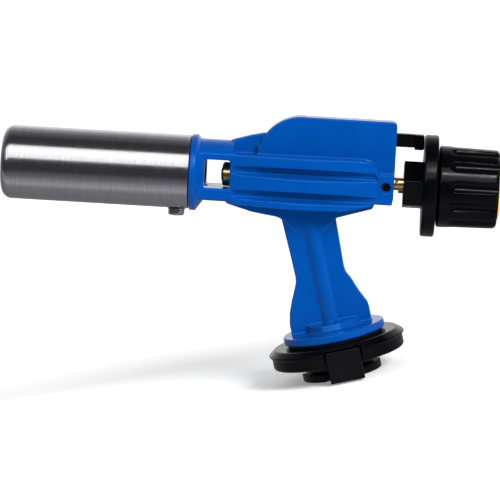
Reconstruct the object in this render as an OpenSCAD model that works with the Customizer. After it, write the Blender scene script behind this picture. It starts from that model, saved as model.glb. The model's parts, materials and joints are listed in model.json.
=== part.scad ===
// Hand-held gas torch head for a bayonet cartridge, millimetres.
// +Z is the cartridge axis, the origin lies on it at the underside of the bayonet boss.
// The burner points to -X and up, the control knob to +X.
// Head parts are drawn along their own axis: u runs along it towards the knob (drawn as X),
// v is square to it and up (drawn as Z). Both are zero a little past the cartridge axis.

/* [Head] */
// height of the point where the burner axis crosses the cartridge axis
axis_height = 76.3; // [75:0.1:82]
// slope of the burner axis above the cartridge's top plane
head_tilt = 15; // [12:0.5:17]
// diameter of the bore that holds the valve
valve_bore_d = 9.2; // [9.2:0.05:9.6]
// thickness of the upper fin that holds the igniter
fin_t = 10; // [9.4:0.1:12]
// thickness of the fins in front of the igniter and under the grip pads
web_t = 5; // [4.6:0.1:6]
// thickness of the handle's web, beside its rib
handle_t = 3.6; // [3.2:0.1:5]
// half width of the grip pads at their middle
pad_half = 12.6; // [12:0.1:14]
// half width of the grip pads at their ends
pad_end_half = 9.8; // [9.4:0.1:10.4]
// diameter of the rib down the middle of the handle
rib_d = 6.6; // [6.4:0.1:8]

/* [Burner] */
// outside diameter of the burner tube
tube_d = 28; // [28:0.5:30]
// length of the burner tube
tube_len = 71.1; // [60:0.5:90]
// wall of the burner tube
tube_wall = 0.6; // [0.5:0.05:0.8]
// radius of the rounded rim at the tube's mouth
rim_r = 3.6; // [1.6:0.1:4]
// diameter of the blue collar behind the tube
collar_d = 29; // [28.8:0.1:30]
// outside diameter of the inner mixing tube
mix_d = 12; // [11:0.1:12.4]
// number of outer holes in the flame holder
flame_holes = 12; // [8:1:16]

/* [Knob] */
// diameter of the knob at its front
knob_d = 30.9; // [29:0.1:33]
// diameter of the knob at its rear edge
knob_rear_d = 29.9; // [28:0.1:31]
// number of grip flutes around the knob
flutes = 12; // [8:1:14]
// diameter of the disc that presses the igniter button
disc_d = 38.6; // [38:0.1:42]
// distance across the corners of the six-sided hub
hub_d = 19.4; // [18:0.1:20.4]
// how far the knob is pushed in to fire the igniter
push_travel = 3.2; // [3:0.1:3.8]

/* [Base] */
// diameter of the blue flange under the handle
flange_d = 38.9; // [38.8:0.1:42]
// thickness of that flange
flange_t = 3; // [3:0.1:4]
// largest diameter of the black base ring
ring_d = 52.4; // [51.4:0.1:55]
// height of the black base ring
ring_h = 7.5; // [7.3:0.1:8.5]
// diameter of the bayonet boss
boss_d = 27.4; // [27:0.1:29]
// how far the bayonet lugs stand out from the boss
lug_out = 1.5; // [1.2:0.1:1.8]
// width of the locking tab at the front of the base
tab_w = 13; // [10:0.1:14]
// diameter of the three screws under the flange
screw_d = 3; // [2.6:0.1:3.2]

/* [Hidden] */
$fn = 96;
EPS = 0.01;
FIT = 0.05;
RUN = 0.05;
CLEAR = 0.3;

PAINT = [0.03, 0.36, 0.78];
STEEL = [0.66, 0.66, 0.68];
BRASS = [0.80, 0.62, 0.28];
BLACK = [0.05, 0.05, 0.055];
YELLOW = [0.95, 0.78, 0.10];
WHITE = [0.93, 0.92, 0.88];

// distance from the crossing of the two axes to the head's own zero
head_shift = 2.6;

// stations along the burner axis
tube_rear = -45.2;
tube_front = tube_rear - tube_len;
collar_front = -44.7;
collar_back = -42.5;
cone_back = -39.4;
spigot_front = -53;
mix_seat = -46.9;
insulator_seat = -50;
window_front = -39.3;
body_front = -29.6;
body_back = 26.3;
rear_face = 32.3;
jet_front = -33.2;
jet_back = -26.5;
seat_u = -12.6;
chamber_front = -11.9;
chamber_back = 8.8;
valve_back = 24;
gland_back = 31.5;
stem_front = 2.1;
stem_end = 58;
hub_front = rear_face + push_travel + CLEAR;
hub_back = 43.1;
disc_back = 48.3;
knob_front = 48.8;
knob_floor = 57.8;
knob_back = 71.5;
flame_front = -92;
flame_back = -89;
igniter_front = 5;
igniter_back = 31.8;
button_front = 39.2;
button_back = hub_back - CLEAR;

// distances from the burner axis
tube_r = tube_d / 2;
tube_in_r = tube_r - tube_wall;
spigot_r = tube_in_r - FIT;
collar_r = collar_d / 2;
cage_r = 13;
mix_r = mix_d / 2;
mix_in_r = mix_r - 0.6;
bore_r = valve_bore_d / 2;
valve_r = bore_r - FIT;
window_low = -4.7;
window_high = 6;
cage_low = -9.6;
cage_half = 10;
lead_v = 8.8;
lead_r = 0.9;
lead_hole_r = 1.2;
insulator_r = 1.9;
groove_floor = 8.9;
passage_r = 1.2;
chamber_r = 2.45;
thread_r = 2.95;
stem_r = 2.5;
stem_bore_r = stem_r + RUN;
pilot_r = 1.0;
groove_r = 1.7;
key_w = 2;
key_out = 3.4;
igniter_v = 16.7;
plunger_v = 4.9;
plunger_w = 4.4;
case_v = 8;
case_w = 6.8;
jog_u = 1.5;
grub_u = 29.2;
grub_v = -1;
grub_r = 1.45;
tube_screw_u = -49.7;

// heights along the cartridge axis
ring_low = 6.5;
ring_top = ring_low + ring_h;
gasket_t = 1;
flange_low = ring_top + gasket_t;
flange_top = flange_low + flange_t;
plate_low = ring_top - 2.5;
adapter_low = plate_low - 2.5;
head_seat = adapter_low + 0.3;
skirt_in_r = 22.3;
boss_in_r = 11.2;
boss_roof = adapter_low - 2.5;
lug_h = 3;
inlet_r = 2.5;
seal_r = 2.4;
inlet_low = 0.6;
inlet_top = flange_top + 1.5;
screw_ring = 15.6;
screw_r = screw_d / 2;
rib_x = -0.5;
tab_x = 2.6;
tab_y = -24.6;
tab_low = 0.5;

// ---------- helpers ----------

// places head parts: X becomes u and Z becomes v
module head() {
    translate([0, 0, axis_height])
    rotate([0, head_tilt, 0])
    translate([head_shift, 0, 0])
    children();
}

// round bar along u, between two stations
module rod(u0, u1, r, v = 0) {
    translate([u0, 0, v])
    rotate([0, 90, 0])
    cylinder(h = u1 - u0, r = r);
}

// turned shape about u, from [u, radius] points
module turned(pts, v = 0) {
    translate([0, 0, v])
    rotate([0, 90, 0])
    rotate_extrude()
    polygon([for (p = pts) [p[1], p[0]]]);
}

// flat plate in the upright plane, thickness along Y
module plate(pts, t) {
    rotate([90, 0, 0])
    linear_extrude(height = t, center = true)
    polygon(pts);
}

// box from its two corners
module block(a, b) {
    translate(a)
    cube(b - a);
}

// points on an arc, in the plane of the drawing
function arc(cx, cy, r, a0, a1, n = 8) =
    [for (i = [0 : n]) let (a = a0 + (a1 - a0) * i / n) [cx + r * cos(a), cy + r * sin(a)]];

// ring of round wire about u
module wire_ring(u, major, minor, v = 0) {
    translate([u, 0, v])
    rotate([0, 90, 0])
    rotate_extrude($fn = 64)
    translate([major, 0])
    circle(r = minor, $fn = 24);
}

// the three screw positions under the flange
module at_screws() {
    for (a = [30, 150, 270])
        rotate([0, 0, a])
        translate([screw_ring, 0, 0])
        children();
}

// ---------- housing ----------

// outline of the fins above and below the burner axis
module fins() {
    hump = concat(
        [[rear_face, 9.5]],
        arc(rear_face - 2, 21.6, 2, 0, 80, 4),
        arc(-3.2, 6.9, 16.8, 84, 168, 14)
    );
    plate(hump, fin_t);
    wing = [
        [-30.9, 0], [-30.9, 12.6], [-29, 13.6], [-26.9, 14.2], [-22.3, 15.6],
        [-17.9, 16.6], [-12, 17], [0, 17], [0, 0]
    ];
    plate(wing, web_t);
    block([10, -fin_t / 2, -6], [rear_face, fin_t / 2, 12]);
    block([-20, -fin_t / 2, 0], [12, fin_t / 2, 12]);
    skirt = [
        [-32.4, -9.6], [-30.2, -11.2], [-25.5, -12.5], [-20.9, -13.7], [-16.3, -14.4],
        [-11.7, -15], [-9.3, -15.8], [-4, -20], [6, -20], [11.2, -14.2],
        [15.7, -12.8], [20.2, -11.4], [24.7, -10], [26.3, -6], [-32.4, -6]
    ];
    plate(skirt, web_t);
}

// cutter for one long groove with sloping sides, narrowing to a point at both ends;
// side is the direction its curved edge faces, up or down
module grip_groove(v, side) {
    out = pad_half + 1;
    reach = 6.5;
    outline = concat(
        [[body_front - 1, -3]],
        arc(body_front + reach, -4.4, 7.5, 150, 95, 6),
        arc(body_back - reach, -4.4, 7.5, 85, 30, 6),
        [[body_back + 1, -3]]
    );
    translate([0, 0, v])
    scale([1, 1, side])
    intersection() {
        translate([body_front - 1, 0, 0])
        rotate([90, 0, 90])
        linear_extrude(height = body_back - body_front + 2)
        polygon([[-out, 2.3], [-groove_floor, 1.2], [-groove_floor, -1.2], [-out, -2.3]]);
        plate(outline, 2 * out);
    }
}

// outline of the grip pads and of the body between them
module grip_outline(t) {
    plate(concat(
        arc(body_front + 1.2, 7.2, 1.2, 180, 100, 6),
        [[-20, 8.5], [19, 8.7]],
        arc(body_back - 5, 3.4, 5, 78, 0, 6),
        arc(body_back - 3.5, -4.9, 3.5, 0, -72, 6),
        [[14, -10.6], [-2, -11]],
        arc(body_front + 1.2, -9.2, 1.2, 265, 180, 6)
    ), t);
}

// one grip pad, bulging towards -Y between its ends, with two long grooves
module grip_pad() {
    half_len = (body_back - body_front) / 2;
    mid = (body_back + body_front) / 2;
    sag = pad_half - pad_end_half;
    bulge_r = (half_len * half_len + sag * sag) / (2 * sag);
    span = asin(half_len / bulge_r);
    plan = concat(
        arc(mid, bulge_r - pad_half, bulge_r, 270 - span, 270 + span, 16),
        [[body_back, 0], [body_front, 0]]
    );
    difference() {
        intersection() {
            grip_outline(2 * pad_half + 2);
            translate([0, 0, -15])
            linear_extrude(height = 30)
            polygon(plan);
        }
        grip_groove(2.65, 1);
        grip_groove(-6.3, -1);
    }
}

// solid head with its collar, cage, pads and rear boss
module head_solid() {
    turned([
        [spigot_front, 0], [spigot_front, spigot_r], [collar_front, spigot_r],
        [collar_front, collar_r], [collar_back, collar_r], [cone_back, cage_half],
        [cone_back, 0]
    ]);
    intersection() {
        rod(collar_back - 1, body_front + 1, cage_r);
        block([collar_back - 1, -cage_half, cage_low], [body_front + 1, cage_half, cage_r]);
    }
    grip_outline(2 * groove_floor);
    grip_pad();
    mirror([0, 1, 0])
    grip_pad();
    block([body_back - 1, -8, -7.6], [rear_face - 0.3, 8, 3.7]);
    fins();
}

// handle web, rib, flange and flange boss below the head
module handle_solid() {
    translate([0, 0, flange_top])
    plate([
        [-16, -1], [-16, 4.3], [-15.1, 8.8], [-13.4, 13.1], [-10.5, 19.5],
        [-10.1, 21.8], [-10.3, 31.2], [-10.8, 46], [10, 45.1], [9.5, 40.9],
        [8.8, 22.3], [9.1, 20], [10.5, 17.4], [12.4, 12.3], [14.9, 7.1],
        [15.1, 4.6], [15, -1]
    ], handle_t);
    translate([rib_x, 0, flange_top])
    cylinder(h = 50, r = rib_d / 2);
    translate([0, 0, flange_low])
    cylinder(h = flange_t, d = flange_d);
    translate([0, 0, flange_top - EPS])
    cylinder(h = 2.5, d1 = 21, d2 = 19.5);
}

module housing() {
    color(PAINT)
    difference() {
        union() {
            head() head_solid();
            handle_solid();
        }
        head() head_voids();
        translate([rib_x, 0, flange_top + 1])
        cylinder(h = axis_height - flange_top - 1, r = passage_r);
        translate([0, 0, flange_low - 1])
        cylinder(h = inlet_top + 0.5 - flange_low + 1, r = inlet_r + FIT);
        at_screws()
        translate([0, 0, flange_low - 1])
        cylinder(h = flange_t + 0.3, r = screw_r - 0.1 + FIT * 2);
    }
}

// everything cut out of the head
module head_voids() {
    rod(body_front - 1, rear_face + 1, bore_r);
    rod(spigot_front - 1, mix_seat, mix_r + FIT);
    rod(mix_seat - EPS, window_front + 1, mix_in_r);
    block([window_front, -20, window_low], [body_front, 20, window_high]);
    rod(spigot_front - 1, jog_u, lead_hole_r, lead_v);
    rod(spigot_front - 1, insulator_seat, insulator_r + FIT, lead_v);
    block([jog_u - 2, -1.6, lead_v - lead_hole_r], [igniter_front + 1, 1.6, igniter_v + 2]);
    block(
        [igniter_front, -case_w / 2 - FIT, igniter_v - case_v / 2 - FIT],
        [rear_face + 1, case_w / 2 + FIT, igniter_v + case_v / 2 + FIT]
    );
    translate([grub_u, 0, grub_v])
    rotate([90, 0, 0])
    cylinder(h = 12, r = grub_r + FIT);
    translate([grub_u, -6.2, grub_v])
    rotate([90, 0, 0])
    cylinder(h = 4, r = 1.9);
    translate([tube_screw_u, 0, -spigot_r - 1])
    cylinder(h = 6, r = screw_r + FIT);
}

// ---------- burner ----------

module burner_tube() {
    mouth_u = tube_front + rim_r;
    color(STEEL)
    head()
    difference() {
        turned(concat(
            [[tube_rear, tube_in_r], [tube_rear, tube_r]],
            arc(mouth_u, tube_r - rim_r, rim_r, 90, 185, 10),
            arc(mouth_u, tube_r - rim_r, rim_r - tube_wall, 185, 90, 10)
        ));
        translate([tube_screw_u, 0, -tube_r - 1])
        cylinder(h = 4, r = screw_r + 2 * FIT);
    }
}

module tube_screw() {
    head_r = 3.1;
    color(STEEL)
    head()
    translate([tube_screw_u, 0, -tube_r])
    mirror([0, 0, 1])
    difference() {
        union() {
            translate([0, 0, -4.6])
            cylinder(h = 4.7, r = screw_r - FIT);
            cylinder(h = 0.6, r = head_r + 0.2);
            rotate_extrude()
            polygon(concat(
                [[0, 0.6], [head_r - 0.3, 0.6], [head_r, 0.9], [head_r, 1.9]],
                arc(head_r - 0.9, 1.9, 0.9, 0, 90, 6),
                [[0, 2.8]]
            ));
        }
        for (a = [0, 90])
            rotate([0, 0, a])
            translate([-1.8, -0.35, 1.6])
            cube([3.6, 0.7, 2]);
    }
}

module mixing_tube() {
    color(STEEL)
    head()
    difference() {
        rod(flame_back, mix_seat, mix_r);
        rod(flame_back - 1, mix_seat + 1, mix_in_r);
    }
}

module flame_holder() {
    color(STEEL)
    head()
    difference() {
        rod(flame_front, flame_back, tube_in_r - FIT);
        rod(flame_front - 1, flame_front + 1.6, tube_in_r - 0.9);
        rod(flame_front - 1, flame_back + 1, 1.2);
        for (a = [0 : 60 : 300])
            rotate([a, 0, 0])
            rod(flame_front - 1, flame_back + 1, 0.9, 3.4);
        for (i = [0.5 : 1 : flame_holes - 0.5])
            rotate([i * 360 / flame_holes, 0, 0])
            rod(flame_front - 1, flame_back + 1, 1, 10.6);
        rod(flame_front - 1, flame_back + 1, insulator_r + FIT, lead_v);
    }
}

module electrode_insulator() {
    color(WHITE)
    head()
    difference() {
        rod(flame_front - 3, insulator_seat, insulator_r, lead_v);
        rod(flame_front - 4, insulator_seat + 1, lead_r + FIT, lead_v);
    }
}

module electrode() {
    wire_r = 0.6;
    bend_u = flame_front - 7;
    color(STEEL)
    head() {
        rod(bend_u, flame_front + 4, wire_r, lead_v);
        translate([bend_u, 0, lead_v])
        sphere(r = wire_r, $fn = 32);
        translate([bend_u, 0, lead_v])
        rotate([0, 200, 0])
        cylinder(h = 5, r = wire_r);
    }
}

module ignition_lead() {
    low = [jog_u - 0.5, 0, lead_v];
    color(BLACK)
    head() {
        rod(flame_front + 4, low[0], lead_r, lead_v);
        translate(low)
        sphere(r = lead_r, $fn = 48);
        translate(low)
        cylinder(h = igniter_v - lead_v, r = lead_r);
        translate([low[0], 0, igniter_v])
        sphere(r = lead_r, $fn = 48);
        rod(low[0], igniter_front, lead_r, igniter_v);
    }
}

// ---------- gas path ----------

module gas_jet() {
    color(BRASS)
    head()
    turned([
        [jet_front, 0.45], [jet_front, 2.2], [jet_front + 0.4, 2.6], [jet_front + 0.4, 3.9],
        [jet_front + 0.9, valve_r], [jet_back, valve_r], [jet_back, 2], [-31.6, 2],
        [-31.6, 0.45]
    ]);
}

module jet_filter() {
    color(BRASS)
    head()
    rod(-30.4, jet_back, 1.97);
}

module valve_body() {
    color(BRASS)
    head()
    difference() {
        turned([
            [jet_back, passage_r], [jet_back, valve_r], [-10, valve_r], [-10, 3.6],
            [-8, 3.6], [-8, valve_r], [-5, valve_r], [-5, 3.7], [0, 3.7], [0, valve_r],
            [3, valve_r], [3, 3.6], [5, 3.6], [5, valve_r], [valve_back, valve_r],
            [valve_back, thread_r], [chamber_back, thread_r], [chamber_back, chamber_r],
            [chamber_front, chamber_r], [chamber_front, passage_r + 0.7],
            [seat_u, passage_r]
        ]);
        for (a = [0 : 90 : 270])
            rotate([a, 0, 0])
            translate([-2.5, 0, 0])
            cylinder(h = 5, r = 0.7);
    }
}

module valve_o_rings() {
    color(BLACK)
    head()
    for (u = [-9, 4])
        wire_ring(u, 4.08, 0.46);
}

module gland_nut() {
    color(BRASS)
    head()
    difference() {
        rod(valve_back, gland_back, valve_r);
        rod(valve_back - 1, gland_back + 1, stem_bore_r);
        for (s = [-1, 1])
            block([gland_back - 1, s * 3.7 - 0.5, -6], [gland_back + 1, s * 3.7 + 0.5, 6]);
    }
}

module grub_screw() {
    color(BLACK)
    head()
    translate([grub_u, -valve_r, grub_v])
    rotate([90, 0, 0])
    difference() {
        cylinder(h = 1.6, r = grub_r);
        translate([0, 0, 0.6])
        cylinder(h = 2, r = 0.8, $fn = 6);
    }
}

module needle() {
    color(BRASS)
    head()
    turned([
        [seat_u - 0.5, 0], [seat_u - 0.5, 0.6], [seat_u, 1.12], [seat_u + 0.5, 1.62],
        [-10.4, 1.62], [-10.4, 1.2], [1, 1.2], [1, chamber_r - RUN],
        [4, chamber_r - RUN], [4, pilot_r + RUN], [2, pilot_r + RUN], [2, 0]
    ]);
}

module valve_stem() {
    color(BRASS)
    head()
    difference() {
        turned([
            [stem_front, 0], [stem_front, pilot_r], [4.4, pilot_r], [4.4, chamber_r - CLEAR],
            [9.4, chamber_r - CLEAR], [9.4, thread_r - RUN], [20.8, thread_r - RUN],
            [20.8, stem_r], [26.8, stem_r], [26.8, groove_r], [28.2, groove_r],
            [28.2, stem_r], [stem_end, stem_r], [stem_end, 1.2], [stem_end - 9, 1.2],
            [stem_end - 9, 0]
        ]);
        block([hub_front - 1.8, -key_w / 2, -4], [54, key_w / 2, -1.8]);
        block([rear_face + 0.4, -4, 0.7], [hub_front - 2, -2, 1.5]);
    }
}

module stem_o_ring() {
    gap_r = (stem_bore_r + groove_r) / 2;
    color(BLACK)
    head()
    wire_ring(27.5, gap_r, (stem_bore_r - groove_r) / 2 - 0.03);
}

module drive_key() {
    color(BRASS)
    head()
    block([hub_front - 1.8, -key_w / 2, -key_out], [54, key_w / 2, -1.8]);
}

module knob_screw() {
    color(STEEL)
    head()
    difference() {
        union() {
            rod(stem_end - 7, stem_end + EPS, 1.2 - EPS);
            turned(concat(
                [[stem_end, 0], [stem_end, 3.6], [stem_end + 1.2, 3.6]],
                [[stem_end + 2, 2.8], [stem_end + 2.2, 1.6], [stem_end + 2.2, 0]]
            ));
        }
        for (a = [0, 90])
            rotate([a, 0, 0])
            block([stem_end + 1.2, -1.7, -0.35], [stem_end + 3, 1.7, 0.35]);
    }
}

// ---------- knob ----------

module key_way() {
    block([hub_front - 1, -key_w / 2 - FIT, -key_out - 0.1], [knob_floor + 1, key_w / 2 + FIT, 0]);
}

module knob_disc() {
    color(BLACK)
    head()
    difference() {
        union() {
            rotate([18, 0, 0])
            rotate([0, 90, 0])
            translate([0, 0, hub_front])
            cylinder(h = hub_back - hub_front, d = hub_d, $fn = 6);
            turned([
                [hub_back - EPS, 0], [hub_back - EPS, disc_d / 2 - 0.5], [hub_back + 0.5, disc_d / 2],
                [disc_back - 0.5, disc_d / 2], [disc_back, disc_d / 2 - 0.5], [disc_back, 0]
            ]);
        }
        rod(hub_front - 1, disc_back + 1, stem_bore_r);
        key_way();
    }
}

module knob() {
    front_r = knob_d / 2;
    rear_r = knob_rear_d / 2;
    flute_r = 2.5;
    flute_v = front_r + 1;
    color(BLACK)
    head()
    difference() {
        turned([
            [disc_back, 0], [disc_back, front_r - 2.4], [knob_front, front_r - 2.4],
            [knob_front, front_r - 0.6], [knob_front + 0.6, front_r],
            [knob_back - 1, rear_r], [knob_back, rear_r - 1], [knob_back, 0]
        ]);
        for (i = [0.8 : 1 : flutes - 0.2])
            rotate([i * 360 / flutes, 0, 0]) {
                rod(knob_front + 6.6, knob_back + 1, flute_r, flute_v);
                translate([knob_front + 6.6, 0, flute_v])
                sphere(r = flute_r, $fn = 48);
            }
        rod(disc_back - 1, knob_floor + 1, stem_bore_r);
        key_way();
        rod(knob_floor, 63, 5.2);
        rod(63, knob_back + 1, 10.5);
        rod(70, knob_back + 1, 11.5);
    }
}

module knob_cap() {
    color(YELLOW)
    head()
    turned([
        [70, 0], [70, 11.5 - FIT], [knob_back + 0.2, 11.5 - FIT], [knob_back + 0.8, 10.6],
        [knob_back + 1.3, 7], [knob_back + 1.5, 0]
    ]);
}

// ---------- igniter ----------

module piezo_case() {
    color(BLACK)
    head()
    difference() {
        block(
            [igniter_front, -case_w / 2, igniter_v - case_v / 2],
            [igniter_back, case_w / 2, igniter_v + case_v / 2]
        );
        block(
            [igniter_front + 4, -plunger_w / 2 - 0.1, igniter_v - plunger_v / 2 - 0.1],
            [igniter_back + 1, plunger_w / 2 + 0.1, igniter_v + plunger_v / 2 + 0.1]
        );
    }
}

module piezo_spring() {
    turns = 6;
    color(STEEL)
    head()
    translate([igniter_front + 4.4, 0, igniter_v])
    rotate([0, 90, 0])
    linear_extrude(height = 8.2, twist = -360 * turns, slices = 120, $fn = 10)
    translate([1.6, 0])
    circle(r = 0.3, $fn = 10);
}

module plunger() {
    color(BLACK)
    head()
    block(
        [18, -plunger_w / 2, igniter_v - plunger_v / 2],
        [button_front, plunger_w / 2, igniter_v + plunger_v / 2]
    );
}

module plunger_button() {
    half_w = plunger_w / 2 + 0.5;
    top = igniter_v + plunger_v / 2;
    color(BLACK)
    head()
    plate([
        [button_front, top - 5.7], [button_back - 0.5, top - 5.7], [button_back, top - 5.2],
        [button_back, top - 0.5], [button_back - 0.5, top], [button_front, top]
    ], 2 * half_w);
}

// ---------- base ----------

module base_ring() {
    ring_r = ring_d / 2;
    lip_low = ring_low + 4.6;
    color(BLACK)
    difference() {
        rotate_extrude($fn = 144)
        polygon([
            [skirt_in_r, ring_low], [ring_r - 1.5, ring_low], [ring_r - 0.9, ring_low + 0.6],
            [ring_r - 0.9, lip_low], [ring_r, lip_low + 0.4], [ring_r, lip_low + 0.9],
            [ring_r - 2.4, ring_top], [9, ring_top],
            [9, plate_low], [skirt_in_r, plate_low]
        ]);
        block([tab_x - tab_w / 2 - 0.6, -40, -1], [tab_x + tab_w / 2 + 0.6, -20.4, ring_top - 1]);
        at_screws()
        translate([0, 0, plate_low - 1])
        cylinder(h = ring_h, r = screw_r + FIT);
    }
}

module gasket() {
    color(BLACK)
    translate([0, 0, ring_top])
    difference() {
        cylinder(h = gasket_t, r = flange_d / 2 - 1.2);
        translate([0, 0, -1])
        cylinder(h = gasket_t + 2, r = 9);
        at_screws()
        translate([0, 0, -1])
        cylinder(h = gasket_t + 2, r = screw_r + FIT);
    }
}

// boss with three lugs, hollow for the cartridge collar, and a sprung locking tab
module bayonet_adapter() {
    boss_r = boss_d / 2;
    color(BLACK)
    difference() {
        union() {
            difference() {
                union() {
                    translate([0, 0, adapter_low])
                    cylinder(h = plate_low - adapter_low, r = skirt_in_r - FIT);
                    cylinder(h = plate_low - 1, r = boss_r);
                    translate([0, 0, lug_h + 0.5])
                    cylinder(h = plate_low - lug_h - 2, r = boss_r + lug_out - 0.3);
                    for (a = [65, 185, 305])
                        rotate([0, 0, a])
                        rotate_extrude(angle = 62, $fn = 144)
                        translate([boss_r - 1, 0])
                        square([lug_out + 1, lug_h]);
                }
                rotate_extrude($fn = 144)
                polygon([
                    [boss_r - 1.3, lug_h - 0.1], [boss_r + 3, lug_h - 0.1],
                    [boss_r + 3, lug_h + 1.1], [boss_r - 1.3, lug_h + 1.1]
                ]);
                for (a = [57, 177, 297])
                    rotate([0, 0, a])
                    block([boss_r - 2, -1.1, -1], [boss_r + 3, 1.1, lug_h + 0.6]);
            }
            tab();
        }
        translate([0, 0, -1])
        cylinder(h = boss_roof + 1, r = boss_in_r);
        cylinder(h = plate_low + 1, r = inlet_r + FIT);
        at_screws() {
            translate([0, 0, adapter_low - 1])
            cylinder(h = 5, r = screw_r + FIT);
            translate([0, 0, -1])
            cylinder(h = head_seat + 1, r = screw_r + 1.6);
        }
    }
}

// locking tab that hangs in the ring's notch
module tab() {
    block([tab_x - tab_w / 2, tab_y + 2.2, adapter_low], [tab_x + tab_w / 2, -20, plate_low]);
    block([tab_x - tab_w / 2, tab_y, adapter_low - 2], [tab_x + tab_w / 2, tab_y + 2.4, ring_top - 1.6]);
    block([tab_x - tab_w / 2, tab_y + 0.3, tab_low], [tab_x + tab_w / 2, tab_y + 2.4, adapter_low - 1]);
    translate([tab_x - 3.6, tab_y + 0.4, 3.4])
    rotate([90, 0, 0])
    difference() {
        cylinder(h = 0.25, r = 1.3);
        translate([0, 0, -1])
        cylinder(h = 3, r = 0.9);
    }
}

module adapter_screws() {
    head_t = 1.9;
    color(STEEL)
    at_screws()
    difference() {
        union() {
            translate([0, 0, head_seat - EPS])
            cylinder(h = flange_low + 2 - head_seat, r = screw_r - 0.1);
            translate([0, 0, head_seat - head_t])
            cylinder(h = head_t, r = screw_r + 1.3);
        }
        for (a = [0, 90])
            rotate([0, 0, a])
            translate([-1.6, -0.35, head_seat - head_t - 1])
            cube([3.2, 0.7, 2]);
    }
}

module inlet_nozzle() {
    shoulder = boss_roof - 2.5;
    color(BRASS)
    rotate_extrude()
    polygon([
        [0.6, inlet_low], [1.6, inlet_low], [2, inlet_low + 0.6], [2, shoulder],
        [seal_r, shoulder + 0.3], [seal_r, boss_roof - 1], [4.4, boss_roof - 1],
        [4.4, boss_roof], [inlet_r, boss_roof], [inlet_r, inlet_top], [0.9, inlet_top],
        [0.9, 4], [0.6, 4]
    ]);
}

module inlet_o_ring() {
    wire = 0.5;
    color(BLACK)
    translate([0, 0, boss_roof - 1 - wire])
    rotate_extrude($fn = 64)
    translate([seal_r + FIT + wire, 0])
    circle(r = wire, $fn = 24);
}

housing();
burner_tube();
tube_screw();
mixing_tube();
flame_holder();
electrode();
electrode_insulator();
ignition_lead();
gas_jet();
jet_filter();
valve_body();
valve_o_rings();
gland_nut();
grub_screw();
piezo_case();
piezo_spring();
base_ring();
gasket();
bayonet_adapter();
adapter_screws();
inlet_nozzle();
inlet_o_ring();
needle();
valve_stem();
stem_o_ring();
drive_key();
knob_screw();
knob();
knob_disc();
knob_cap();
plunger();
plunger_button();
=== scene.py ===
"""Gas torch head: looks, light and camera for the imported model. Metres."""

import json
from math import atan2, cos, radians, sin

import bpy
from mathutils import Matrix, Vector


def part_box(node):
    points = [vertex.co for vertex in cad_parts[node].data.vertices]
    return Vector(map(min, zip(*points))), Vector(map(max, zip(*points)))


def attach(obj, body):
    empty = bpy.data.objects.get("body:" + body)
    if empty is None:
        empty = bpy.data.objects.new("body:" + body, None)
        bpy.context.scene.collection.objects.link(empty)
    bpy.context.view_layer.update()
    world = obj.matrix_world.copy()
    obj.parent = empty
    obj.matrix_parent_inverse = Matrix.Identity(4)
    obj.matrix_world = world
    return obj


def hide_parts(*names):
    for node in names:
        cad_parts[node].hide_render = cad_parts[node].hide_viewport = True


MM = 0.001
WHITE = (1, 1, 1)

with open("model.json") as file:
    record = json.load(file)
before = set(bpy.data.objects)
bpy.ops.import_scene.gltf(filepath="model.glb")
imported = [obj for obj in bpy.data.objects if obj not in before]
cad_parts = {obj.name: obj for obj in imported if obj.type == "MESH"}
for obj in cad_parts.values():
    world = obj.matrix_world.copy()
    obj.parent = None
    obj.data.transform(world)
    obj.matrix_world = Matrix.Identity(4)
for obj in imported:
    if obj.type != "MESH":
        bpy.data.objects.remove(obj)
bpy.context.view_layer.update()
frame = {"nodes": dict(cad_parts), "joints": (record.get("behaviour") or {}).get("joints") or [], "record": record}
nodes = frame["nodes"]
joints = {j["name"]: j for j in frame["joints"]}

# The head's own frame: X along the burner axis towards the knob, Z up from it.
turn = joints["valve_turn"]
axis = Vector(turn["axis"]).normalized()
tilt = atan2(-axis.z, axis.x)
HEAD = Matrix.Translation(Vector(turn["pos_m"])) @ Matrix.Rotation(tilt, 4, "Y")


# ---------- materials ----------


def set_stops(band, stops):
    while len(band.elements) < len(stops):
        band.elements.new(0.5)
    for element, (position, rgb) in zip(band.elements, stops):
        element.position = position
        element.color = (*rgb, 1)


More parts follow.
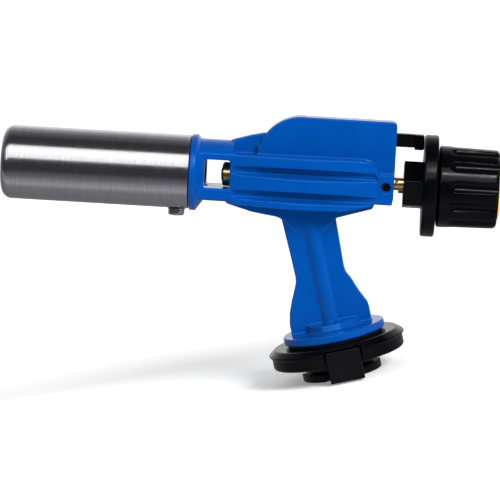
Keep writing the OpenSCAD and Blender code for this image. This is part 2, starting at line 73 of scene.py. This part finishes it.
class Look:
    """A Principled material with helpers for its texture nodes."""

    def __init__(self, name, color, rough, metallic=0.0, **sockets):
        self.mat = bpy.data.materials.new(name)
        self.mat.use_nodes = True
        self.tree = self.mat.node_tree
        self.bsdf = self.tree.nodes["Principled BSDF"]
        self.set("Base Color", (*color, 1))
        self.set("Roughness", rough)
        self.set("Metallic", metallic)
        for key, value in sockets.items():
            self.set(key.replace("_", " "), value)
        self.coord = self.node("ShaderNodeTexCoord").outputs["Object"]
        self.normal = None

    def set(self, socket, value):
        self.bsdf.inputs[socket].default_value = value

    def node(self, kind, **values):
        n = self.tree.nodes.new(kind)
        for key, value in values.items():
            setattr(n, key, value)
        return n

    def link(self, a, b):
        self.tree.links.new(a, b)

    def stretched(self, scale):
        """Object coordinates stretched by scale along each of the piece's own axes."""
        m = self.node("ShaderNodeMapping")
        m.inputs["Scale"].default_value = scale
        self.link(self.coord, m.inputs["Vector"])
        return m.outputs["Vector"]

    def noise(self, scale, detail=3.0, rough=0.55, vector=None):
        n = self.node("ShaderNodeTexNoise")
        n.inputs["Scale"].default_value = scale
        n.inputs["Detail"].default_value = detail
        n.inputs["Roughness"].default_value = rough
        self.link(vector or self.coord, n.inputs["Vector"])
        return n.outputs["Fac"]

    def ranged(self, value, low, high, start=0.3, end=0.7):
        r = self.node("ShaderNodeMapRange")
        values = {"From Min": start, "From Max": end, "To Min": low, "To Max": high}
        for key, v in values.items():
            r.inputs[key].default_value = v
        self.link(value, r.inputs["Value"])
        return r.outputs["Result"]

    def roughness(self, value, low, high, start=0.3, end=0.7):
        self.link(self.ranged(value, low, high, start, end), self.bsdf.inputs["Roughness"])

    def ramp(self, value, *stops):
        """Colour from (position, colour) stops."""
        ramp = self.node("ShaderNodeValToRGB")
        set_stops(ramp.color_ramp, stops)
        self.link(value, ramp.inputs["Fac"])
        return ramp.outputs["Color"]

    def color(self, value, *stops):
        self.link(self.ramp(value, *stops), self.bsdf.inputs["Base Color"])

    def bump(self, height, strength, depth_mm):
        b = self.node("ShaderNodeBump")
        b.inputs["Strength"].default_value = strength
        b.inputs["Distance"].default_value = depth_mm * MM
        self.link(height, b.inputs["Height"])
        if self.normal:
            self.link(self.normal, b.inputs["Normal"])
        self.normal = b.outputs["Normal"]
        self.link(self.normal, self.bsdf.inputs["Normal"])


METAL_SPREAD = 0.08
PALE_PLASTIC = 0.1


def blue_paint():
    """Gloss paint, whose reflections are tinted blue."""
    look = Look(
        "blue_paint", (0.0002, 0.056, 0.29), 0.2, Coat_Weight=0.2, Coat_Roughness=0.04,
        Specular_IOR_Level=0.6, Specular_Tint=(0.01, 0.42, 1.0, 1),
    )
    look.color(
        look.noise(90, 3),
        (0.3, (0.0002, 0.053, 0.275)),
        (0.7, (0.0003, 0.059, 0.305)),
    )
    look.roughness(look.noise(260, 3), 0.15, 0.26)
    look.bump(look.noise(130, 2), 0.2, 0.06)
    look.bump(look.noise(900, 2), 0.08, 0.012)
    return look.mat


def brushed_tube():
    """Steel brushed around the burner axis."""
    look = Look(
        "tube_steel", (0.55, 0.54, 0.56), 0.22, 1.0, Anisotropic=0.8, Anisotropic_Rotation=0.25
    )
    around = look.stretched((1.0, 0.02, 0.02))
    fine = look.noise(4200, 4, 0.7, around)
    broad = look.noise(260, 3, 0.6, around)
    look.color(fine, (0.30, (0.46, 0.45, 0.47)), (0.70, (0.60, 0.59, 0.61)))
    look.roughness(broad, 0.19, 0.26)
    look.bump(fine, 0.08, 0.004)
    look.bump(broad, 0.04, 0.01)
    tangent = look.node("ShaderNodeTangent", direction_type="RADIAL", axis="X")
    look.link(tangent.outputs["Tangent"], look.bsdf.inputs["Tangent"])
    return look.mat


def metal(name, color, rough, dark):
    """Machined metal with fine turning marks; dark is its colour where it is tarnished."""
    look = Look(name, color, rough, 1.0)
    turned = look.noise(1500, 3, 0.6, look.stretched((1.0, 0.12, 0.12)))
    look.color(look.noise(300, 3), (0.3, dark), (0.65, color))
    look.roughness(turned, rough - METAL_SPREAD, rough + METAL_SPREAD)
    look.bump(turned, 0.2, 0.01)
    return look.mat


def plastic(name, color, rough, grain_mm, grain, worn=None):
    """Moulded plastic: grain_mm is the grain's height, grain its fineness."""
    shine = 0.5 if color[0] > PALE_PLASTIC else 0.15
    look = Look(name, color, rough, Specular_IOR_Level=shine)
    pale = worn or tuple(min(c * 1.5 + 0.0005, 1) for c in color)
    look.color(look.noise(160, 4), (0.35, color), (0.75, pale))
    look.roughness(look.noise(420, 3), rough - 0.06, rough + 0.08)
    look.bump(look.noise(grain, 3, 0.6), 0.3, grain_mm)
    look.bump(look.noise(70, 2), 0.1, 0.06)
    return look.mat


LOOKS = {
    "blue_paint": blue_paint(),
    "tube_steel": brushed_tube(),
    "screw_steel": metal("screw_steel", (0.68, 0.67, 0.68), 0.18, (0.5, 0.49, 0.5)),
    "inner_steel": metal("inner_steel", (0.46, 0.45, 0.44), 0.34, (0.33, 0.31, 0.29)),
    "brass": metal("brass", (0.88, 0.62, 0.26), 0.22, (0.70, 0.46, 0.17)),
    "black_oxide": metal("black_oxide", (0.05, 0.05, 0.055), 0.45, (0.02, 0.02, 0.022)),
    "gloss_black": plastic("gloss_black", (0.0008, 0.0008, 0.0014), 0.16, 0.006, 900),
    "matte_black": plastic("matte_black", (0.0022, 0.002, 0.0028), 0.38, 0.02, 1300),
    "case_plastic": plastic("case_plastic", (0.0012, 0.0012, 0.0016), 0.32, 0.015, 1100),
    "yellow_plastic": plastic(
        "yellow_plastic", (0.78, 0.50, 0.03), 0.32, 0.01, 900, (0.84, 0.56, 0.05)
    ),
    "black_rubber": plastic("black_rubber", (0.004, 0.004, 0.004), 0.6, 0.01, 1600),
    "lead_jacket": plastic("lead_jacket", (0.02, 0.02, 0.021), 0.5, 0.01, 1200),
    "white_ceramic": plastic(
        "white_ceramic", (0.74, 0.72, 0.66), 0.5, 0.01, 1500, (0.80, 0.79, 0.75)
    ),
}
SLOT = {p["node"]: p["material_slot"] for p in frame["record"]["subparts"]}
BODY = {n: b for b, ns in frame["record"]["behaviour"]["bodies"].items() for n in ns}


NODE_EDGE = radians(28)
TUBE_EDGE = radians(40)


def finish_with(obj, node):
    obj.data.materials.clear()
    obj.data.materials.append(LOOKS[SLOT[node]])


for name, obj in nodes.items():
    finish_with(obj, name)
    obj.data.shade_smooth()
    obj.data.set_sharp_from_angle(angle=NODE_EDGE)


# ---------- pieces with a moulded or cast shape ----------


def copy_of(node, place=HEAD):
    """A CAD node's shape as a new piece, whose own axes are those of place."""
    mesh = nodes[node].data.copy()
    mesh.transform(place.inverted())
    obj = bpy.data.objects.new(node + "_piece", mesh)
    bpy.context.scene.collection.objects.link(obj)
    obj.matrix_world = place
    return obj


def apply(obj, kind, **values):
    modifier = obj.modifiers.new(kind.lower(), kind)
    for key, value in values.items():
        setattr(modifier, key, value)
    bpy.context.view_layer.objects.active = obj
    with bpy.context.temp_override(object=obj, active_object=obj):
        bpy.ops.object.modifier_apply(modifier=modifier.name)


def softened(node, voxel_mm, rounds, keep, place=HEAD):
    """Replaces a node by its own shape with the small radii that casting and moulding leave."""
    obj = copy_of(node, place)
    apply(obj, "REMESH", mode="VOXEL", voxel_size=voxel_mm * MM, use_smooth_shade=True)
    apply(obj, "SMOOTH", iterations=rounds, factor=0.5)
    apply(obj, "DECIMATE", ratio=keep)
    obj.data.shade_smooth()
    finish_with(obj, node)
    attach(obj, BODY[node])
    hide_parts(node)


# A voxel's size in mm, the rounds of smoothing, and the share of faces that is kept.
coarse = 1.0
BASE = Matrix.Identity(4)
softened("housing", 0.36 * coarse, 3, 0.4)
softened("knob", 0.28 * coarse, 2, 0.5)
softened("knob_disc", 0.3 * coarse, 2, 0.35)
softened("base_ring", 0.3 * coarse, 2, 0.35, BASE)
softened("bayonet_adapter", 0.24 * coarse, 1, 0.35, BASE)
softened("plunger_button", 0.16, 2, 0.5)

tube = copy_of("burner_tube")
tube.data.shade_smooth()
tube.data.set_sharp_from_angle(angle=TUBE_EDGE)
finish_with(tube, "burner_tube")
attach(tube, BODY["burner_tube"])
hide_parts("burner_tube")


# ---------- studio ----------


def stage_sheet(name, size, place, material):
    mesh = bpy.data.meshes.new(name)
    half = size / 2
    mesh.from_pydata(
        [(-half, -half, 0), (half, -half, 0), (half, half, 0), (-half, half, 0)], [], [(0, 1, 2, 3)]
    )
    obj = bpy.data.objects.new(name, mesh)
    bpy.context.scene.collection.objects.link(obj)
    obj.matrix_world = place
    mesh.materials.append(material)
    return obj


def pale_floor():
    """A near-white sheet; shiny parts see it dimmer, brightest just in front of the burner."""
    look = Look(
        "pale_floor", (0.94, 0.94, 0.94), 0.6, Emission_Color=(*WHITE, 1), Emission_Strength=0.22
    )
    look.color(look.noise(3, 2), (0.2, (0.93, 0.93, 0.93)), (0.8, (0.96, 0.96, 0.96)))
    dim = look.node("ShaderNodeEmission")
    across = look.node("ShaderNodeSeparateXYZ")
    look.link(look.coord, across.inputs["Vector"])
    near = FLOOR_FRONT - FLOOR_SIZE / 2
    glow = look.ramp(
        look.ranged(across.outputs["Y"], 0, 1, near - 0.35, near + 0.15),
        (0.08, (0.06, 0.06, 0.07)),
        (0.42, (0.20, 0.20, 0.22)),
        (0.58, (0.50, 0.50, 0.52)),
        (0.64, (0.28, 0.28, 0.29)),
        (0.8, (0.22, 0.22, 0.23)),
    )
    look.link(glow, dim.inputs["Color"])
    mix = look.node("ShaderNodeMixShader")
    rays = look.node("ShaderNodeLightPath")
    look.link(rays.outputs["Is Glossy Ray"], mix.inputs["Fac"])
    look.link(look.bsdf.outputs["BSDF"], mix.inputs[1])
    look.link(dim.outputs["Emission"], mix.inputs[2])
    look.link(mix.outputs["Shader"], look.tree.nodes["Material Output"].inputs["Surface"])
    return look.mat


def area_light(name, offset, size, watts):
    """A light that stands at an offset from the target and is only seen in shiny parts."""
    light = bpy.data.lights.new(name, "AREA")
    light.shape = "RECTANGLE"
    light.size, light.size_y = size
    light.energy = watts
    obj = bpy.data.objects.new(name, light)
    obj.location = target + offset
    obj.rotation_euler = (-offset).to_track_quat("-Z", "Y").to_euler()
    obj.visible_diffuse = False
    bpy.context.scene.collection.objects.link(obj)


def background(tree, name, strength):
    shader = tree.nodes.new("ShaderNodeBackground")
    shader.name = name
    shader.inputs["Color"].default_value = (*WHITE, 1)
    shader.inputs["Strength"].default_value = strength
    return shader


def studio_world():
    """A white room for light, and a dim one with a bright back wall for what shines."""
    world = bpy.data.worlds.new("studio")
    world.use_nodes = True
    tree = world.node_tree
    tree.nodes.clear()
    out = tree.nodes.new("ShaderNodeOutputWorld")
    mix = tree.nodes.new("ShaderNodeMixShader")
    rays = tree.nodes.new("ShaderNodeLightPath")
    where = tree.nodes.new("ShaderNodeTexCoord")
    split = tree.nodes.new("ShaderNodeSeparateXYZ")
    wall = tree.nodes.new("ShaderNodeValToRGB")
    room = background(tree, "room", 0.5)
    sky = background(tree, "sky", 1.0)
    seen = tree.nodes.new("ShaderNodeMixShader")
    shine = background(tree, "shine", 1.0)
    set_stops(
        wall.color_ramp,
        (
            (0.0, (0.05, 0.05, 0.055)),
            (0.41, (0.18, 0.18, 0.19)),
            (0.69, (0.47, 0.47, 0.49)),
            (0.9, WHITE),
        ),
    )
    for a, b in (
        (where.outputs["Generated"], split.inputs["Vector"]),
        (split.outputs["Y"], wall.inputs["Fac"]),
        (wall.outputs["Color"], shine.inputs["Color"]),
        (rays.outputs["Is Glossy Ray"], mix.inputs["Fac"]),
        (rays.outputs["Is Camera Ray"], seen.inputs["Fac"]),
        (room.outputs["Background"], seen.inputs[1]),
        (sky.outputs["Background"], seen.inputs[2]),
        (seen.outputs["Shader"], mix.inputs[1]),
        (shine.outputs["Background"], mix.inputs[2]),
        (mix.outputs["Shader"], out.inputs["Surface"]),
    ):
        tree.links.new(a, b)
    return world


low = min(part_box(n)[0].z for n in nodes)
target = Vector((-25.0, 0, 53.4)) * MM
FLOOR_GAP = 0.2 * MM
FLOOR_SIZE = 12
FLOOR_FRONT = 0.38
stage_sheet(
    "floor",
    FLOOR_SIZE,
    Matrix.Translation((0, FLOOR_SIZE / 2 - FLOOR_FRONT, low - FLOOR_GAP)),
    pale_floor(),
)
bpy.context.scene.world = studio_world()

area_light("softbox", Vector((-0.1, -0.9, 0.79)), (1.7, 0.86), 8)
area_light("strip", Vector((0.48, -0.82, 0.76)), (0.45, 0.06), 2.6)

# The sun gives the shading, and isn't seen in shiny parts.
SUN_DIRECTION = Vector((-0.57, 0.68, -0.47))
SUN_STRENGTH = 4.1
SUN_SPREAD = radians(24)

sun = bpy.data.lights.new("sun", "SUN")
sun.energy = SUN_STRENGTH
sun.angle = SUN_SPREAD
sun_obj = bpy.data.objects.new("sun", sun)
sun_obj.rotation_euler = SUN_DIRECTION.to_track_quat("-Z", "Y").to_euler()
sun_obj.visible_glossy = False
bpy.context.scene.collection.objects.link(sun_obj)

# ---------- camera ----------

VIEW_AZIMUTH = radians(4.3)
VIEW_ELEVATION = radians(6.8)
VIEW_ROLL = radians(12)
DISTANCE = 0.99
FRAME_WIDTH = 0.1905
SENSOR_WIDTH = 36

camera = bpy.data.cameras.new("camera")
camera.sensor_width = SENSOR_WIDTH
camera.lens = SENSOR_WIDTH * DISTANCE / FRAME_WIDTH
eye = target + DISTANCE * Vector(
    (
        sin(VIEW_AZIMUTH) * cos(VIEW_ELEVATION),
        -cos(VIEW_AZIMUTH) * cos(VIEW_ELEVATION),
        sin(VIEW_ELEVATION),
    )
)
camera_obj = bpy.data.objects.new("camera", camera)
bpy.context.scene.collection.objects.link(camera_obj)
look_at = (target - eye).to_track_quat("-Z", "Y").to_matrix().to_4x4()
camera_obj.matrix_world = Matrix.Translation(eye) @ look_at @ Matrix.Rotation(-VIEW_ROLL, 4, "Z")
bpy.context.scene.camera = camera_obj
bpy.context.scene.view_settings.view_transform = "Standard"
